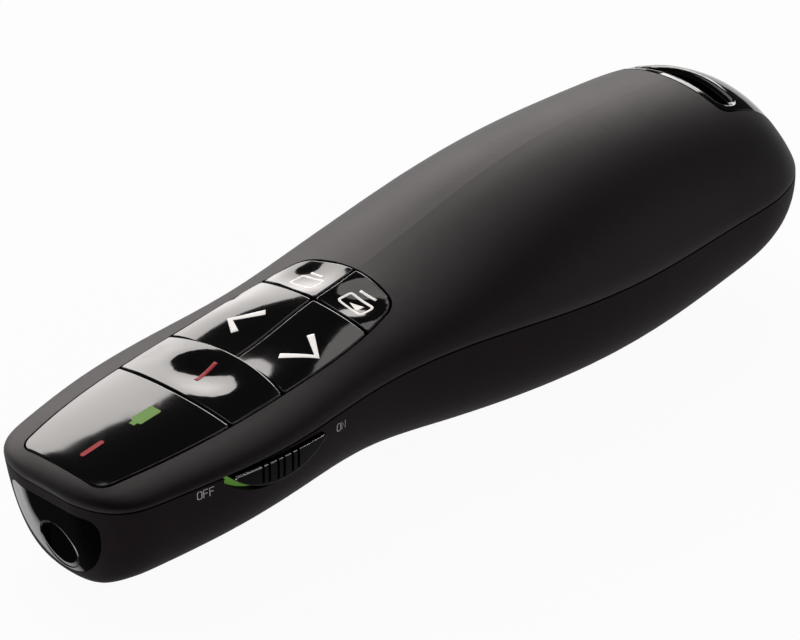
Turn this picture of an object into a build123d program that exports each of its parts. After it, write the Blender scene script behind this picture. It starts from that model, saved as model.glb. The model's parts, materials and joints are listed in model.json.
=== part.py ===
from build123d import *
import math
import os

import numpy as np

# A hand-held presentation remote, in millimetres. It lies on Z = 0 with the laser nose towards -X,
# the tail with its stored USB receiver towards +X, and the power slider on the -Y side.

# ---------------------------------------------------------------- along the body
# The keypad, the battery bay and the receiver's dock follow each other and add up to the body's length.
WINDOW_FRONT = 2.45      # the keypad starts this far behind the nose
WINDOW_LENGTH = 17.85
LASER_KEY_LENGTH = 9.3   # on the centre line, where its rear edge bulges most
ARROW_KEY_LENGTH = 13.0
REAR_KEY_LENGTH = 7.1
WINDOW_REAR = WINDOW_FRONT + WINDOW_LENGTH
LASER_KEY_REAR = WINDOW_REAR + LASER_KEY_LENGTH
ARROW_REAR = LASER_KEY_REAR + ARROW_KEY_LENGTH
KEYPAD_REAR = ARROW_REAR + REAR_KEY_LENGTH

CELL_LENGTH = 43.7
NUB_LENGTH = 0.8
SPRING_ROOM = 2.3
TRAY_WALL = 1.0
BOSS_RADIUS = 2.2
FRONT_BOSS_X = KEYPAD_REAR + 1.0
FRONT_BOSS_GAP = 0.05    # between the front screw bosses and the battery tray
TAIL_BOSS_X = 8.2        # from the tail
TAIL_BOSS_GAP = 1.05     # between the battery tray and the tail's screw bosses
CELL_FRONT = FRONT_BOSS_X + BOSS_RADIUS + FRONT_BOSS_GAP + TRAY_WALL + SPRING_ROOM
TAIL_ROOM = SPRING_ROOM + TRAY_WALL + TAIL_BOSS_GAP + BOSS_RADIUS + TAIL_BOSS_X
LENGTH = CELL_FRONT + CELL_LENGTH + NUB_LENGTH + TAIL_ROOM

# ---------------------------------------------------------------- body form
# Distances from the nose at which the body's widths and heights are set: four under the keypad, one
# behind it, three over the battery bay and one at the tail.
KEYPAD_STATIONS = (0, 10, 25, 40, KEYPAD_REAR + 3.3)
BAY_STATIONS = (CELL_FRONT + 10.75, CELL_FRONT + 25.75, CELL_FRONT + 41.75)
STATION = (*KEYPAD_STATIONS, *BAY_STATIONS, LENGTH)
HALF_WIDTH = (11.0, 13.4, 15.3, 14.6, 16.0, 18.0, 18.9, 18.6, 19.4)
CROWN = (14.7, 16.1, 17.7, 19.8, 22.0, 25.3, 27.3, 26.9, 25.0)
PARTING = (12.8, 13.5, 14.2, 15.2, 15.6, 14.8, 14.4, 15.2, 16.2)
UNDERSIDE = (-0.1, 0.5, 2.0, 2.6, 1.0, -0.1, 0.0, 2.2, 7.8)
# Fullness of the cross-section's curves at nose, middle and tail: 0 is a straight slope, 1 is boxy.
TOP_SIDE_FULL = (0.40, 0.26, 0.10)
TOP_CROWN_FULL = (0.85, 0.69, 0.62)
UNDER_SIDE_FULL = 0.73
UNDER_FLAT_FULL = 0.75
# Rounding of the two ends in plan, over the top and under the bottom: reach and squareness.
NOSE_PLAN_REACH = 7.0
NOSE_PLAN_POWER = 3.0
NOSE_TOP_REACH = 3.6
NOSE_UNDER_REACH = 1.8
NOSE_POWER = 2.4
TAIL_PLAN_REACH = 16.0
TAIL_PLAN_POWER = 2.4
TAIL_TOP_REACH = 11.0
TAIL_UNDER_REACH = 13.0
TAIL_POWER = 2.2
NOSE_RAKE = 1.9          # how far the foot of the nose stands back from its top
NOSE_RAKE_HEIGHT = 14.0  # height at which the rake starts
NOSE_RAKE_FADE = 8.0     # the rake dies away over this distance
NOSE_STEPS = (0.1, 0.4, 1.0, 2.0, 3.5, 5.5, 8.0)
TAIL_STEPS = (16.5, 12.5, 9.0, 6.0, 3.8, 2.2, 1.2, 0.5, 0.15)
MIDDLE_SECTIONS = 13

WALL = 1.7
NOSE_WALL = 3.0
FIT = 0.15               # clearance round pieces that sit inside the shells
SHADOW_GAP = 0.25        # height of the groove along the parting line
SHADOW_DEPTH = 0.6
END_MARGIN = 5.0         # cutters run this far past the two ends

# ---------------------------------------------------------------- keypad (x as distance from the nose)
KEYPAD_CORNER_X = KEYPAD_REAR - 1.4   # its rear edge bulges past its corners
LASER_CORNER_X = LASER_KEY_REAR - 1.0
KEYPAD_FRONT_HALF = 7.3
KEYPAD_WINDOW_HALF = 10.15
KEYPAD_LASER_HALF = 10.25
KEYPAD_ARROW_HALF = 9.5
KEYPAD_REAR_HALF = 8.3
KEYPAD_FRONT_ROUND = 2.3
KEYPAD_REAR_ROUND = 3.0
LASER_REAR_RADIUS = 42.0
KEY_GAP = 0.25           # between two keys
KEY_BORDER = 0.2         # between the keys and the shell
KEY_RISE = 0.1           # keys stand this much above the shell
KEY_THICKNESS = 1.8
KEY_TRAVEL = 0.5
KEY_RIM = 0.2            # rounding of the keys' upper edges
KEY_CORNER = 0.4         # and of their corners in plan
KEY_TOP_GRID = 14        # the keys' tops are drawn through a net of this many steps each way
KEY_TOP_MARGIN = 0.4     # and reach this far past their sides
TOP_TOLERANCE = 0.002

# Where each key stands on its switch: distance from the nose and offset.
LASER_KEY_AT = (WINDOW_REAR + 0.5 * LASER_KEY_LENGTH, 0.0)
ARROW_KEY_X = ARROW_REAR - 0.52 * ARROW_KEY_LENGTH
ARROW_KEY_Y = 4.8
REAR_KEY_X = ARROW_REAR + 0.45 * REAR_KEY_LENGTH
REAR_KEY_Y = 4.35
KEY_PLACES = {
    "laser_button": LASER_KEY_AT,
    "next_button": (ARROW_KEY_X, ARROW_KEY_Y),
    "previous_button": (ARROW_KEY_X, -ARROW_KEY_Y),
    "blank_screen_button": (REAR_KEY_X, REAR_KEY_Y),
    "slideshow_button": (REAR_KEY_X, -REAR_KEY_Y),
}
# Soft oval dishes in the keys: distance and offset of the middle, half length, half width and depth.
# The two arrow keys share one bowl, which is deepest behind the laser key.
ARROW_BOWL = (LASER_KEY_REAR + 0.9, 0.0, 12.0, 11.0, 0.85)
REAR_DISH = (4.2, 4.6, 0.55)
KEY_DISHES = {
    "laser_button": (*LASER_KEY_AT, 4.3, 6.4, 0.55),
    "next_button": ARROW_BOWL,
    "previous_button": ARROW_BOWL,
    "blank_screen_button": (REAR_KEY_X, REAR_KEY_Y, *REAR_DISH),
    "slideshow_button": (REAR_KEY_X, -REAR_KEY_Y, *REAR_DISH),
}

RED_LENS = (3.4, 0.7)
RED_LENS_AT = (6.9, -0.8)
CELL_ICON = (3.3, 1.9)
CELL_ICON_AT = (15.0, -1.0)
CELL_ICON_NUB = (0.5, 0.9)
LENS_ROUND = 0.3
LIGHT_PIPE_RADIUS = 0.8
LED_SIZE = (1.6, 0.8)
LED_HEIGHT = 0.7

# ---------------------------------------------------------------- circuit board and key frame
BOARD_FRONT = 7.8
BOARD_REAR = KEYPAD_CORNER_X
BOARD_HALF = 10.2
BOARD_Z = 8.7
BOARD_THICKNESS = 1.0
BOARD_TOP = BOARD_Z + BOARD_THICKNESS
FRAME_Z = 12.3
FRAME_THICKNESS = 1.0
FRAME_TOP = FRAME_Z + FRAME_THICKNESS
FRAME_FLANGE = 0.9       # the frame reaches this far past the keypad opening
FRAME_FRONT = WINDOW_FRONT + 1.15
FRAME_REAR = KEYPAD_REAR + 0.7
SWITCH_SIZE = 5.2
SWITCH_HEIGHT = 1.4
PLUNGER_RADIUS = 1.4
PLUNGER_DEPTH = 0.6      # length of the plunger inside its switch at rest
STEM_RADIUS = 1.5
STEM_RUNNING = 0.08
COLLAR_RADIUS = 2.1
COLLAR_HEIGHT = 0.5
COLLAR_GAP = 0.05
SWITCH_BORE_DEPTH = 1.2
FRAME_SCREW_X = (WINDOW_REAR - 7.0, ARROW_REAR - 1.6)
FRAME_SCREW_Y = 7.7
FRAME_LEG_RADIUS = 2.3
SCREW_RADIUS = 0.9
SCREW_HEAD_RADIUS = 1.65
SCREW_HEAD = 1.1
SCREW_CLEARANCE = 0.15
PILOT_CLEARANCE = 0.03
FRAME_SCREW_LENGTH = 7.5
SCREW_SEAT = FRAME_TOP - SCREW_HEAD - SCREW_CLEARANCE
CROSS_REACH = 1.1        # half size of the cross recess in the screws' heads
CROSS_HALF = 0.2
BOSS_WALL = 1.1
# Chips under the board: distance from the nose and offset, then length, width and height.
CONTROLLER_AT = (26.5, 0.0)
CONTROLLER_SIZE = (7.0, 7.0, 1.1)
RADIO_AT = (35.5, 0.0)
RADIO_SIZE = (4.0, 4.0, 0.9)
CRYSTAL_AT = (35.2, 5.45)
CRYSTAL_SIZE = (3.2, 2.5, 0.8)

# ---------------------------------------------------------------- laser
LASER_Z = 4.9
BARREL_RADIUS = 2.8
BARREL_BORE = 2.2
BARREL_FRONT = 3.6
BARREL_LENGTH = 11.0
BARREL_FIT = 0.06
LENS_RADIUS = 2.14
LENS_THICKNESS = 1.6
LENS_SETBACK = 1.5
LENS_CROWN = 1.2         # rounding of its curved face
RING_THICKNESS = 1.0
RING_BORE = 1.5
DIODE_CAN_RADIUS = 1.65
DIODE_FLANGE_RADIUS = 2.1
DIODE_CAN = 2.2
DIODE_FLANGE = 1.0
LEAD_RADIUS = 0.3
LEAD_SPREAD = 0.9
LEAD_BEND = 1.2
CRADLE_HALF = 4.0
CRADLE_FRONT = 4.8
CRADLE_REAR = 13.0

# Glossy nose panel: its outline on the nose face.
PANEL_BOTTOM = 1.3
PANEL_TOP = 11.2
PANEL_HALF = 7.7
PANEL_ROUND = 1.4
PANEL_THICKNESS = 1.2
PANEL_FIT = 0.08
PANEL_HOLE = 3.1
PANEL_BORE = 2.6
PANEL_CONE = 0.7
APERTURE_THICKNESS = 0.5
APERTURE_FIT = 0.03

# ---------------------------------------------------------------- power slider on the -Y side
SLIDER_X = 23.15
SLIDER_LENGTH = 14.8
SLIDER_SAG = 3.2
SLIDER_TOP = 13.45
SLIDER_PROUD = 0.45
SLIDER_DEPTH = 1.1
SLIDER_TRAVEL = 1.2
SLIDER_EDGE = 0.2        # rounding of its outer edges
SLIDER_TIP = 0.35        # and of its two tips
SLIDER_GAP = 0.3
POCKET_DEPTH = 1.3
PAD_DEPTH = 2.7          # the side wall behind the slider is this thick
PAD_MARGIN = 1.5
SLIDER_GROOVES = (-2.6, -0.4, 1.8)   # centres of its three pairs of grip grooves
GROOVE_PITCH = 0.9
GROOVE_WIDTH = 0.35
GROOVE_DEPTH = 0.35
GROOVE_FOOT = 0.4        # the grooves end this far above the slider's lower edge
SLIDER_LEG = (3.2, 1.4)
SLIDER_LEG_Z = 11.3
SLIDER_HOOK = 0.5
STRIP_THICKNESS = 0.15
STRIP_COVER = 3.7        # the green strip ends this far behind the slider's front end
TOGGLE_SIZE = (7.0, 2.6, 2.2)
TOGGLE_Y = -8.9
TOGGLE_KNOB = (1.2, 1.0)
TOGGLE_KNOB_Z = 10.8

# ---------------------------------------------------------------- batteries and their tray
CELL_RADIUS = 5.25
NUB_RADIUS = 1.9
CELL_Y = 5.5
CELL_Z = 10.25
SPRING_WIRE = 0.25        # radius of the wire
SPRING_RADIUS = 2.4
SPRING_TOUCH = 0.03       # clearance of the wire's ends
SPRING_TURNS = 3.0
CONTACT_THICKNESS = 0.3
CONTACT_HALF = 3.8
CONTACT_DROP = 3.2            # the contacts reach this far below the cells' axis
TRAY_ROOF_Z = 15.6
TRAY_ROOF = 0.7
TRAY_SKIRT_Z = 7.0
TRAY_SIDE_GAP = 0.15
DOCK_RAIL = 0.8
DOCK_RAIL_HEIGHT = 2.2
TRAY_SHELF = (8.0, 38.0)      # from the front of the cells
TRAY_SHELF_LENGTH = 2.5
TRAY_SHELF_Y = 12.2
TRAY_SHELF_Z = 9.0

DOOR_HALF = 11.2
DOOR_LEAD = 2.3               # the door starts this far ahead of the cells
DOOR_GAP = 0.2
DOOR_TOP = 11.5
DOOR_TAB = (2.3, 2.8, 0.8)
DOOR_TAB_Y = 3.6
DOOR_TAB_Z = 3.5
DOOR_TAB_ROOT = 4.0
DOOR_RIB_TOP = 4.8
DOOR_RIB = 1.0
DOOR_RIB_LENGTH = 40.0
GRIP_RIBS = 5
GRIP_PITCH = 1.8
GRIP_DEPTH = 0.4
GRIP_WIDTH = 16.0
GRIP_FROM_TAIL = 19.0

# ---------------------------------------------------------------- receiver (x as distance from the tail)
NOTCH_FRONT = 11.75
NOTCH_SIDE_DROP = 0.45        # the notch's front edge falls back by this at its corners
NOTCH_HALF = 9.2
NOTCH_ROUND = 1.5
NOTCH_FLOOR = 16.3
HEAD_GAP = 0.2
SLOT_FRONT = 10.25
SLOT_REAR = 7.8
SLOT_HALF = 7.3
SLOT_SWEEP = 0.6              # the slot's rear wall falls back by this at its ends
SLOT_FLOOR = 19.0
SLOT_ROUND = 0.9
SLOT_RIM = 0.8                # rounding of the slot's mouth
CASE_HALF = 8.6
CASE_HEIGHT = 5.0
CASE_LENGTH = 31.0
CASE_WALL = 0.9
CASE_ROUND = 1.2
CASE_LIFT = 0.15
PLUG_LENGTH = 12.0
PLUG_WIDTH = 12.0
PLUG_HEIGHT = 4.5
PLUG_WALL = 0.3
PLUG_ROOT = 2.0
TONGUE_WIDTH = 11.1
TONGUE_HEIGHT = 1.9
CONTACT_COUNT = 4
CONTACT_PITCH = 2.5
CONTACT_STRIP = (8.0, 1.1, 0.15)
STICK_BOARD = (26.0, 14.0, 0.8)
STICK_CHIP = (5.0, 5.0, 0.9)

# ---------------------------------------------------------------- shell screws
FRONT_BOSS_Y = 7.5
TAIL_BOSS_Y = 13.4
SHELL_SCREW_RADIUS = 1.0
SHELL_SCREW_HEAD = 1.2
SHELL_SCREW_HEAD_RADIUS = 1.5
SHELL_SEAT_DROP = 3.2         # the screws' seats lie this far below the parting line
SHELL_SCREW_BITE = 2.4        # and their tips this far above it

NOSE = -LENGTH / 2
TAIL = LENGTH / 2
FAR = 40.0                    # reach of cutters that pass right through the body
NODES = {}


def from_nose(distance):
    return NOSE + distance


def from_tail(distance):
    return TAIL - distance


def block(x0, x1, y0, y1, z0, z1):
    """A box between two corners."""
    size = (x1 - x0, y1 - y0, z1 - z0)
    return Pos((x0 + x1) / 2, (y0 + y1) / 2, (z0 + z1) / 2) * Box(*size)


def post(x, y, z0, z1, radius):
    """An upright cylinder between two heights."""
    return Pos(x, y, (z0 + z1) / 2) * Cylinder(radius, z1 - z0)


def rod(x0, x1, y, z, radius):
    """A cylinder lying along X."""
    return Pos((x0 + x1) / 2, y, z) * Rot(0, 90, 0) * Cylinder(radius, x1 - x0)


def one_solid(shape):
    """The largest solid of a cut, without slivers."""
    return max(shape.solids(), key=lambda solid: solid.volume)


# ================================================================ body surface
def natural_spline(values):
    """A smooth curve through one value at each station."""
    count = len(STATION)
    step = np.diff(STATION)
    matrix = np.eye(count)
    rise = np.zeros(count)
    for i in range(1, count - 1):
        matrix[i, i - 1:i + 2] = (step[i - 1], 2 * (step[i - 1] + step[i]), step[i])
        rise[i] = 6 * ((values[i + 1] - values[i]) / step[i] - (values[i] - values[i - 1]) / step[i - 1])
    bend = np.linalg.solve(matrix, rise)

    def value_at(distance):
        i = min(max(int(np.searchsorted(STATION, distance)) - 1, 0), count - 2)
        before = distance - STATION[i]
        after = STATION[i + 1] - distance
        cubic = (bend[i] * after ** 3 + bend[i + 1] * before ** 3) / (6 * step[i])
        left = (values[i] / step[i] - bend[i] * step[i] / 6) * after
        right = (values[i + 1] / step[i] - bend[i + 1] * step[i] / 6) * before
        return float(cubic + left + right)

    return value_at


half_width_at = natural_spline(HALF_WIDTH)
crown_at = natural_spline(CROWN)
parting_at = natural_spline(PARTING)
underside_at = natural_spline(UNDERSIDE)


def end_round(distance, reach, power):
    """Share of the full size that is left at a distance from a rounded end."""
    left = min(max(1 - distance / reach, 0), 1)
    return (1 - left ** power) ** (1 / power)


def profile(distance, inset=0.0, nose_inset=0.0):
    """Half width, crown, parting and underside heights of one cross-section."""
    nose = distance - nose_inset
    tail = LENGTH - distance - inset
    half = half_width_at(distance)
    half *= end_round(nose, NOSE_PLAN_REACH, NOSE_PLAN_POWER)
    half *= end_round(tail, TAIL_PLAN_REACH, TAIL_PLAN_POWER)
    part = parting_at(distance)
    up = (crown_at(distance) - part) * end_round(nose, NOSE_TOP_REACH, NOSE_POWER)
    up *= end_round(tail, TAIL_TOP_REACH, TAIL_POWER)
    down = (part - underside_at(distance)) * end_round(nose, NOSE_UNDER_REACH, NOSE_POWER)
    down *= end_round(tail, TAIL_UNDER_REACH, TAIL_POWER)
    return half - inset, part + up - inset, part, part - down + inset


def top_fullness(distance):
    share = distance / LENGTH
    side = float(np.interp(share, (0, 0.5, 1), TOP_SIDE_FULL))
    crown = float(np.interp(share, (0, 0.5, 1), TOP_CROWN_FULL))
    return side, crown


def raked(distance, y, z):
    """A point of a cross-section, whose plane leans back near the nose."""
    rake = NOSE_RAKE * (NOSE_RAKE_HEIGHT - z) / NOSE_RAKE_HEIGHT * math.exp(-distance / NOSE_RAKE_FADE)
    return (from_nose(distance) + rake, y, z)


def quarter_curves(distance, half, side_z, peak_z, side_full, peak_full):
    """The two mirrored curves from one side over a peak (or under a low point) to the other side."""
    rise = peak_z - side_z
    points = [(half, side_z), (half, side_z + side_full * rise), (half * peak_full, peak_z), (0, peak_z)]
    right = Bezier(*[raked(distance, y, z) for y, z in points])
    left = Bezier(*[raked(distance, -y, z) for y, z in reversed(points)])
    return right, left


def section(distance, inset, nose_inset, kind):
    """Closed wire of one cross-section: its upper half, its lower half or the whole of it."""
    half, crown, part, under = profile(distance, inset, nose_inset)
    side_full, crown_full = top_fullness(distance)
    if kind == "whole":
        part = min(part, under + 0.8 * (crown - under))
    over = quarter_curves(distance, half, part, crown, side_full, crown_full)
    below = quarter_curves(distance, half, part, under, UNDER_SIDE_FULL, UNDER_FLAT_FULL)
    chord = Line(raked(distance, -half, part), raked(distance, half, part))
    edges = {"upper": [*over, chord], "lower": [*below, chord], "whole": [*over, *below]}
    return Wire(edges[kind])


def envelope(kind, inset=0.0, nose_inset=None, nose_start=0.0, tail_start=0.0):
    """The body's solid form, or the same form drawn in by an inset."""
    nose_inset = inset if nose_inset is None else nose_inset
    near_nose = [nose_inset + step for step in NOSE_STEPS if step >= nose_start]
    near_tail = [LENGTH - inset - step for step in TAIL_STEPS if step >= tail_start]
    gap = (near_tail[0] - near_nose[-1]) / (MIDDLE_SECTIONS + 1)
    middle = [near_nose[-1] + gap * (i + 1) for i in range(MIDDLE_SECTIONS)]
    wires = [section(d, inset, nose_inset, kind) for d in near_nose + middle + near_tail]
    return Solid.make_loft(wires)


def surface_height(distance, y):
    """Height of the top surface at a distance from the nose and an offset from the centre line."""
    half, crown, part, _ = profile(distance)
    side_full, crown_full = top_fullness(distance)
    low, high = 0.0, 1.0
    for _ in range(40):
        t = (low + high) / 2
        across = (1 - t) ** 3 + 3 * (1 - t) ** 2 * t + 3 * (1 - t) * t * t * crown_full
        if across * half > abs(y):
            low = t
        else:
            high = t
    t = (low + high) / 2
    return part + (crown - part) * (3 * (1 - t) ** 2 * t * side_full + 3 * (1 - t) * t * t + t ** 3)


UPPER = envelope("upper")
LOWER = envelope("lower")
CAVITY = envelope("whole", WALL, NOSE_WALL, nose_start=0.1, tail_start=0.8)
INTERIOR = envelope("whole", WALL + FIT, NOSE_WALL + FIT, nose_start=0.1, tail_start=1.0)


def parting_band(below, above):
    """A slab that follows the parting line, from one height below it to another above it."""
    count = 24
    distances = [LENGTH * i / count for i in range(count + 1)]
    line = [raked(d, 0, parting_at(d)) for d in distances]
    low = [(x, 0, z - below) for x, _, z in line]
    high = [(x, 0, z + above) for x, _, z in line]
    low[0], high[0] = (NOSE - 2, 0, low[0][2]), (NOSE - 2, 0, high[0][2])
    low[-1], high[-1] = (TAIL + 2, 0, low[-1][2]), (TAIL + 2, 0, high[-1][2])
    edges = [Spline(*low), Line(low[-1], high[-1]), Spline(*reversed(high)), Line(high[0], low[0])]
    face = Face(Wire(edges))
    return extrude(face, amount=FAR, dir=(0, 1, 0), both=True)


# ================================================================ keypad
def keypad_prism(grow):
    """Upright prism over the outline of window and keys, with its border moved out by grow."""
    halves = ((WINDOW_FRONT, KEYPAD_FRONT_HALF), (WINDOW_REAR, KEYPAD_WINDOW_HALF),
              (LASER_CORNER_X, KEYPAD_LASER_HALF), (ARROW_REAR, KEYPAD_ARROW_HALF),
              (KEYPAD_CORNER_X, KEYPAD_REAR_HALF))
    side = [(from_nose(d), half + grow) for d, half in halves]
    side[0] = (side[0][0] - grow, side[0][1])
    side[-1] = (side[-1][0] + grow, side[-1][1])
    other = [(x, -y) for x, y in reversed(side)]
    tip = (from_nose(KEYPAD_REAR) + grow, 0)
    outline = Wire([Spline(*side), ThreePointArc(side[-1], tip, other[0]), Spline(*other),
                    Line(other[-1], side[0])])
    prism = extrude(Face(outline), amount=FAR, dir=(0, 0, 1))
    uprights = prism.edges().filter_by(Axis.Z).sort_by(Axis.X)
    prism = fillet(uprights[:2], KEYPAD_FRONT_ROUND + grow)
    uprights = prism.edges().filter_by(Axis.Z).sort_by(Axis.X)
    return fillet(uprights[-2:], KEYPAD_REAR_ROUND + grow)


OPENING = keypad_prism(0)
CAP_PRISM = keypad_prism(-KEY_BORDER)
LASER_ARC_X = from_nose(LASER_KEY_REAR) - LASER_REAR_RADIUS


def laser_arc(radius):
    return post(LASER_ARC_X, 0, -1, FAR, radius)


def key_cells():
    """The upright block that bounds each piece of the keypad in plan."""
    half_gap = KEY_GAP / 2
    front = from_nose(WINDOW_REAR) + half_gap
    arrow = from_nose(ARROW_REAR)
    end = from_nose(KEYPAD_REAR) + 2
    inside_arc = laser_arc(LASER_REAR_RADIUS - half_gap)
    outside_arc = laser_arc(LASER_REAR_RADIUS + half_gap)
    cells = {"status_window": block(NOSE - 1, front - KEY_GAP, -FAR, FAR, 0, FAR),
             "laser_button": block(front, end, -FAR, FAR, 0, FAR) & inside_arc}
    for name, side in (("next_button", 1), ("previous_button", -1)):
        y0, y1 = sorted((side * half_gap, side * FAR))
        cells[name] = block(front, arrow - half_gap, y0, y1, 0, FAR) - outside_arc
    for name, side in (("blank_screen_button", 1), ("slideshow_button", -1)):
        y0, y1 = sorted((side * half_gap, side * FAR))
        cells[name] = block(arrow + half_gap, end, y0, y1, 0, FAR)
    return cells


def top_height(name, distance, y):
    """Height of a key's top: the body's own surface, hollowed by a soft oval dish."""
    height = surface_height(distance, y) + KEY_RISE
    if name in KEY_DISHES:
        middle_x, middle_y, half_length, half_width, depth = KEY_DISHES[name]
        off_centre = ((distance - middle_x) / half_length) ** 2 + ((y - middle_y) / half_width) ** 2
        height -= depth * max(1 - off_centre, 0) ** 2
    return height


def sharp_uprights(piece):
    """The upright edges at which two walls of a piece meet at a corner."""
    corners = []
    for edge in piece.edges().filter_by(lambda edge: abs((edge % 0.5).Z) > 0.999):
        sides = [face for face in piece.faces() if any(edge.is_same(other) for other in face.edges())]
        turn = sides[0].normal_at(edge @ 0.5).get_angle(sides[1].normal_at(edge @ 0.5))
        if turn > 20:
            corners.append(edge)
    return corners


def cap(name):
    """The visible top of one keypad piece, with its corners and rim rounded, down to the ground."""
    piece = one_solid(CAP_PRISM & key_cells()[name])
    piece = piece.fillet(KEY_CORNER, sharp_uprights(piece))
    box = piece.bounding_box()
    margin = KEY_TOP_MARGIN
    distances = np.linspace(box.min.X - NOSE - margin, box.max.X - NOSE + margin, KEY_TOP_GRID)
    offsets = np.linspace(box.min.Y - margin, box.max.Y + margin, KEY_TOP_GRID)
    net = [[(from_nose(d), y, top_height(name, d, y)) for y in offsets] for d in distances]
    top = Face.make_surface_from_array_of_points(net, tol=TOP_TOLERANCE, min_deg=3, max_deg=3)
    piece = one_solid(piece - extrude(top, amount=FAR, dir=(0, 0, 1)))
    rim = piece.faces().sort_by(Axis.Z)[-1].edges()
    return piece.fillet(KEY_RIM, rim)


PLUNGER_TOP = FRAME_Z - COLLAR_GAP - COLLAR_HEIGHT


def key_stem(distance, y):
    """Stem and collar under a key, down to the plunger of its switch."""
    x = from_nose(distance)
    root = surface_height(distance, y) + KEY_RISE - KEY_THICKNESS + 0.3
    collar = post(x, y, PLUNGER_TOP, FRAME_Z - COLLAR_GAP, COLLAR_RADIUS)
    return post(x, y, PLUNGER_TOP, root, STEM_RADIUS) + collar


def make_keys():
    beneath = Pos(0, 0, KEY_RISE - KEY_THICKNESS) * UPPER
    beneath += block(NOSE - 1, TAIL, -FAR, FAR, 0, FRAME_TOP + KEY_TRAVEL + FIT)
    drawn = ("laser_button", "next_button", "blank_screen_button")
    caps = {name: one_solid(cap(name) - beneath) for name in drawn}
    caps["previous_button"] = mirror(caps["next_button"], about=Plane.XZ)
    caps["slideshow_button"] = mirror(caps["blank_screen_button"], about=Plane.XZ)
    foot = PLUNGER_TOP - KEY_TRAVEL - FIT - PLUNGER_DEPTH
    for name, (distance, y) in KEY_PLACES.items():
        NODES[name] = one_solid(caps[name] + key_stem(distance, y))
        plunger = post(from_nose(distance), y, foot, PLUNGER_TOP, PLUNGER_RADIUS)
        NODES[name.replace("button", "plunger")] = plunger


def lens_outline(kind):
    """Upright prism of an indicator: the red bar or the green cell icon."""
    place, size = (RED_LENS_AT, RED_LENS) if kind == "red" else (CELL_ICON_AT, CELL_ICON)
    x, y = from_nose(place[0]), place[1]
    bar = extrude(Pos(x, y) * RectangleRounded(*size, LENS_ROUND), amount=FAR, dir=(0, 0, 1))
    if kind == "cell":
        nub_x = x - size[0] / 2 - CELL_ICON_NUB[0] / 2
        bar += Pos(nub_x, y, FAR / 2) * Box(CELL_ICON_NUB[0] + 0.2, CELL_ICON_NUB[1], FAR)
    return bar


def make_window():
    """Status window with its two indicator lenses."""
    window = one_solid(cap("status_window") - block(NOSE - 1, TAIL, -FAR, FAR, 0, FRAME_TOP))
    for kind, name, place in (("red", "laser_indicator_lens", RED_LENS_AT),
                              ("cell", "battery_indicator_lens", CELL_ICON_AT)):
        outline = lens_outline(kind)
        pipe = post(from_nose(place[0]), place[1], BOARD_TOP + LED_HEIGHT + FIT, FRAME_TOP, LIGHT_PIPE_RADIUS)
        NODES[name] = one_solid((window & outline) + pipe)
        window -= outline
    NODES["status_window"] = one_solid(window)


# ================================================================ circuit board
def screw_places():
    return [(from_nose(x), side * FRAME_SCREW_Y) for x in FRAME_SCREW_X for side in (1, -1)]


def make_key_frame():
    plate = keypad_prism(FRAME_FLANGE) & block(
        from_nose(FRAME_FRONT), from_nose(FRAME_REAR), -FAR, FAR, FRAME_Z, FRAME_TOP)
    plate &= INTERIOR
    for distance, y in KEY_PLACES.values():
        plate -= post(from_nose(distance), y, 0, FAR, STEM_RADIUS + STEM_RUNNING)
    for place in (RED_LENS_AT, CELL_ICON_AT):
        plate -= post(from_nose(place[0]), place[1], 0, FAR, LIGHT_PIPE_RADIUS + FIT)
    for x, y in screw_places():
        plate += post(x, y, BOARD_TOP, FRAME_TOP, FRAME_LEG_RADIUS)
        plate -= post(x, y, 0, FAR, SCREW_RADIUS + SCREW_CLEARANCE)
        plate -= post(x, y, SCREW_SEAT, FAR, SCREW_HEAD_RADIUS + SCREW_CLEARANCE)
    for side in (1, -1):
        plate -= post(from_nose(FRONT_BOSS_X), side * FRONT_BOSS_Y, 0, FAR, BOSS_RADIUS + FIT)
    NODES["key_frame"] = one_solid(plate)
    screws = []
    for x, y in screw_places():
        screw = post(x, y, SCREW_SEAT, SCREW_SEAT + SCREW_HEAD, SCREW_HEAD_RADIUS)
        screw += post(x, y, SCREW_SEAT - FRAME_SCREW_LENGTH, SCREW_SEAT, SCREW_RADIUS)
        for reach_x, reach_y in ((CROSS_REACH, CROSS_HALF), (CROSS_HALF, CROSS_REACH)):
            screw -= block(x - reach_x, x + reach_x, y - reach_y, y + reach_y,
                           SCREW_SEAT + SCREW_HEAD / 2, FAR)
        screws.append(screw)
    NODES["frame_screws"] = Compound(children=screws)


def chip_under_board(place, size):
    """A chip on the underside of the board, with its lower edges broken."""
    chip = Pos(from_nose(place[0]), place[1], BOARD_Z - size[2] / 2) * Box(*size)
    return chamfer(chip.faces().sort_by(Axis.Z)[0].edges(), 0.15)


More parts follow.
